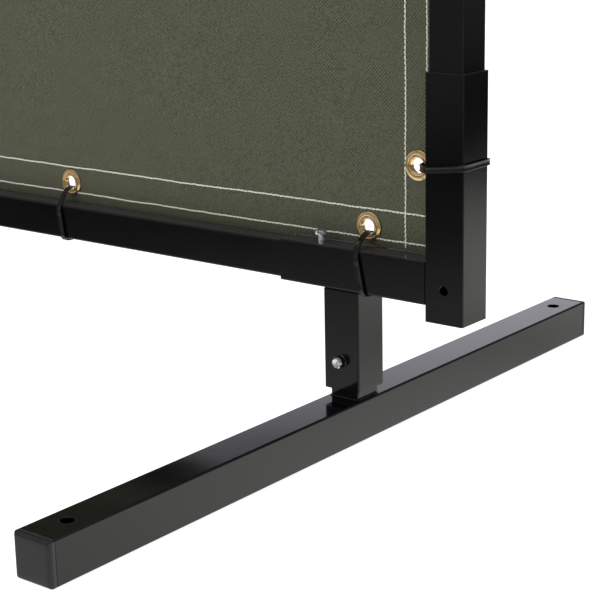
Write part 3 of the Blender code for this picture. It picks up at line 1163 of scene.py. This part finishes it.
def build_corners(coat, zinc):
    for side, sign in SIDES.items():
        for end, inward in FRAME_ENDS.items():
            node = f"post_sleeve_{end}_{side}"
            low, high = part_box(node)
            tube(f"post_socket_{end}_{side}", node, coat, [(post_hole(side, end), FRONT, POST_HOLE_RADIUS)])
            inner = low.x if sign > 0 else high.x
            node = f"rail_sleeve_{end}_{side}"
            low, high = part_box(node)
            centre = middle(f"set_bolt_{end}_{side}")
            face = (centre.x, centre.y, high.z if inward > 0 else low.z)
            tube(f"rail_socket_{end}_{side}", node, coat, [(face, inward * UP, BOLT_HOLE_RADIUS)])
            bolt(f"set_bolt_{end}_{side}", inward * UP, zinc, False)
            outer = low.z if inward > 0 else high.z
            beads = [
                edge_bead(node, 2, (inner, high.y, 0.0), CORNER_BEAD),
                edge_bead(node, 1, (inner, 0.0, outer), CORNER_BEAD),
            ]
            weld(f"corner_weld_{end}_{side}", beads, node, coat)


def build_members(coat, plastic):
    for side in SIDES:
        low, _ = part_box(f"post_{side}")
        holes = []
        for end in FRAME_ENDS:
            place = post_hole(side, end)
            place.y = low.y
            holes.append((place, FRONT, POST_HOLE_RADIUS + POST_HOLE_EASE))
        tube(f"upright_{side}", f"post_{side}", coat, holes)
        cap = f"post_cap_{side}"
        low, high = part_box(cap)
        end = middle(cap)
        end.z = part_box(f"post_sleeve_top_{side}")[1].z
        plug(f"post_plug_{side}", cap, high.x - low.x, end, UP, POST_SPIGOT, plastic)
    for end in FRAME_ENDS:
        tube(f"crossbar_{end}", f"rail_{end}", coat)


def build_eyelet(name, place, metals):
    """A grommet facing front, in bright brass with painted shade on its rim and in its groove."""
    item = add_object(name, *moved(grommet_part(), turned(FRONT, place)), metals[0], 50.0)
    item.data.materials.append(metals[1])
    for face in item.data.polygons:
        # Faces of the rim and groove rings take the brass in painted shade.
        if face.index // GROMMET_STEPS in PAINTED_SHADE_RINGS:
            face.material_index = 1
    return item


def build_curtain(cloth, thread, metals, black):
    sheet = add_object("canvas_sheet", *curtain_part(), cloth, 50.0)
    stand_for(sheet, "curtain")
    on_sheet, held_by = [], []
    for edge in ("bottom", "top", "right", "left"):
        parts = []
        for start, end in seams(edge):
            for span_start, span_end in clear_of_holes(start, end):
                for face in (-1, 1):
                    parts.append(seam_part(span_start, span_end, face))
        item = add_object(f"stitching_{edge}", *merge(parts), thread, 80.0)
        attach(item, body_of("curtain"))
        on_sheet.append(item)
    for edge, number, centre, outward in HOLES:
        place = (centre.x, cloth_y(centre.x, centre.z), centre.z)
        item = build_eyelet(f"grommet_{edge}_{number}", place, metals)
        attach(item, body_of("curtain"))
        on_sheet.append(item)
        node = f"tie_{edge}_{number}"
        item = add_object(f"cable_{node}", *tie_part(edge, number, centre, outward), black, 40.0)
        stand_for(item, node)
        held_by.append(item.name)


# Stage, lights and camera

def build_camera():
    right, forward = Vector(CAMERA_RIGHT).normalized(), Vector(CAMERA_FORWARD).normalized()
    turn = Matrix((right, right.cross(forward), -forward)).transposed().to_4x4()
    data = bpy.data.cameras.new("camera")
    data.lens = CAMERA_LENS
    data.sensor_width = CAMERA_SENSOR
    data.clip_end = CAMERA_FAR
    camera = bpy.data.objects.new("camera", data)
    camera.matrix_world = Matrix.Translation(CAMERA_PLACE) @ turn
    bpy.context.scene.collection.objects.link(camera)
    bpy.context.scene.camera = camera


def area_light(name, place, target, size, brightness):
    """A soft box whose face has a brightness, as radiance, and looks at a target."""
    data = bpy.data.lights.new(name, "AREA")
    data.shape = "RECTANGLE"
    data.size, data.size_y = size
    data.energy = brightness * math.pi * size[0] * size[1]
    light = bpy.data.objects.new(name, data)
    light.location = place
    light.rotation_mode = "QUATERNION"
    light.rotation_quaternion = (Vector(place) - Vector(target)).to_track_quat("Z", "Y")
    light.visible_camera = False
    bpy.context.scene.collection.objects.link(light)
    return light


def build_floor():
    tree = Surface("pale_floor")
    colour = tree.mottled(3.0, 2.0, *FLOOR)
    tree.set(Base_Color=colour, Roughness=0.9, Specular_IOR_Level=0.1, Emission_Strength=0.85)
    tree.set(Emission_Color=(1.0, 1.0, 1.0))
    corners = [(x * FLOOR_REACH, y * FLOOR_REACH, 0.0) for x, y in ((-1, -1), (1, -1), (1, 1), (-1, 1))]
    floor = add_object("floor", corners, [(0, 1, 2, 3)], tree.material)
    floor.location.z = -FLOOR_GAP
    floor.visible_glossy = False


def room_brightness(tree, direction):
    """Brightness in a direction: banded below the horizon, and a soft patch behind the screen above it."""
    x, y, z = tree.separate(direction)
    behind = tree.fit(y, -0.30, 0.30, smooth=True)
    from_behind = tree.math("MULTIPLY", tree.ramp(z, -1.0, 0.0, BEHIND_BELOW), behind)
    in_front = tree.math("SUBTRACT", 1.0, behind)
    from_front = tree.math("MULTIPLY", tree.ramp(z, -1.0, 0.0, FRONT_BELOW), in_front)
    to_left = tree.fit(x, -0.1, 0.3, 1.0, 0.12, smooth=True)
    to_back = tree.fit(y, -0.3, 0.2, 0.15, 1.0, smooth=True)
    above = tree.math("MULTIPLY", tree.ramp(z, 0.0, 1.0, ABOVE), tree.math("MULTIPLY", to_left, to_back))
    return tree.math("ADD", tree.math("ADD", from_behind, from_front), above)


def build_world():
    """A room that the camera sees as white, and whose light and reflections vary with the direction."""
    world = bpy.data.worlds.new("studio")
    bpy.context.scene.world = world
    world.use_nodes = True
    tree = Nodes(world.node_tree)
    tree.nodes.clear()
    output = tree.add("OutputWorld")
    seen = tree.add("Background")
    seen.inputs["Color"].default_value = (1.0, 1.0, 1.0, 1.0)
    room = tree.add("Background")
    choose = tree.add("MixShader")
    tree.link(tree.add("LightPath").outputs["Is Camera Ray"], choose.inputs["Fac"])
    tree.link(room.outputs[0], choose.inputs[1])
    tree.link(seen.outputs[0], choose.inputs[2])
    tree.link(choose.outputs[0], output.inputs["Surface"])
    direction = tree.add("TexCoord").outputs["Generated"]
    height = tree.separate(direction)[2]
    tint = tree.mix(tree.fit(height, -0.1, 0.2, smooth=True), WARM_BELOW, COOL_ABOVE)
    scale = tree.add("VectorMath")
    scale.operation = "SCALE"
    tree.link(tint, scale.inputs[0])
    tree.link(room_brightness(tree, direction), scale.inputs["Scale"])
    tree.link(scale.outputs[0], room.inputs["Color"])


def build_lights():
    key = area_light("key", (-0.6, -3.0, 2.6), (0.3, 0.0, 0.7), (3.0, 2.0), 2.3)
    key.visible_glossy = False
    area_light("overhead", (0.6, 0.8, 3.4), (0.6, 0.6, 0.0), (4.0, 4.0), 1.2)


build_camera()
COAT = powder_coat("black_powder_coat", 0.0)
TOP_SHEEN_COAT = powder_coat("powder_coat_with_painted_sheen", 1.0)
PLASTIC = end_plug_plastic()
ZINC = zinc_plate()
BRASS = brass("brass", BRIGHT_BRASS)
BRASS_IN_SHADE = brass("brass_in_painted_shade", SHADED_BRASS)
build_feet(COAT, PLASTIC)
build_legs(COAT, ZINC)
build_corners(TOP_SHEEN_COAT, ZINC)
build_members(TOP_SHEEN_COAT, PLASTIC)
build_curtain(canvas(), sewing_thread(), (BRASS, BRASS_IN_SHADE), nylon())
build_floor()
build_world()
build_lights()
bpy.context.scene.view_settings.view_transform = "Standard"
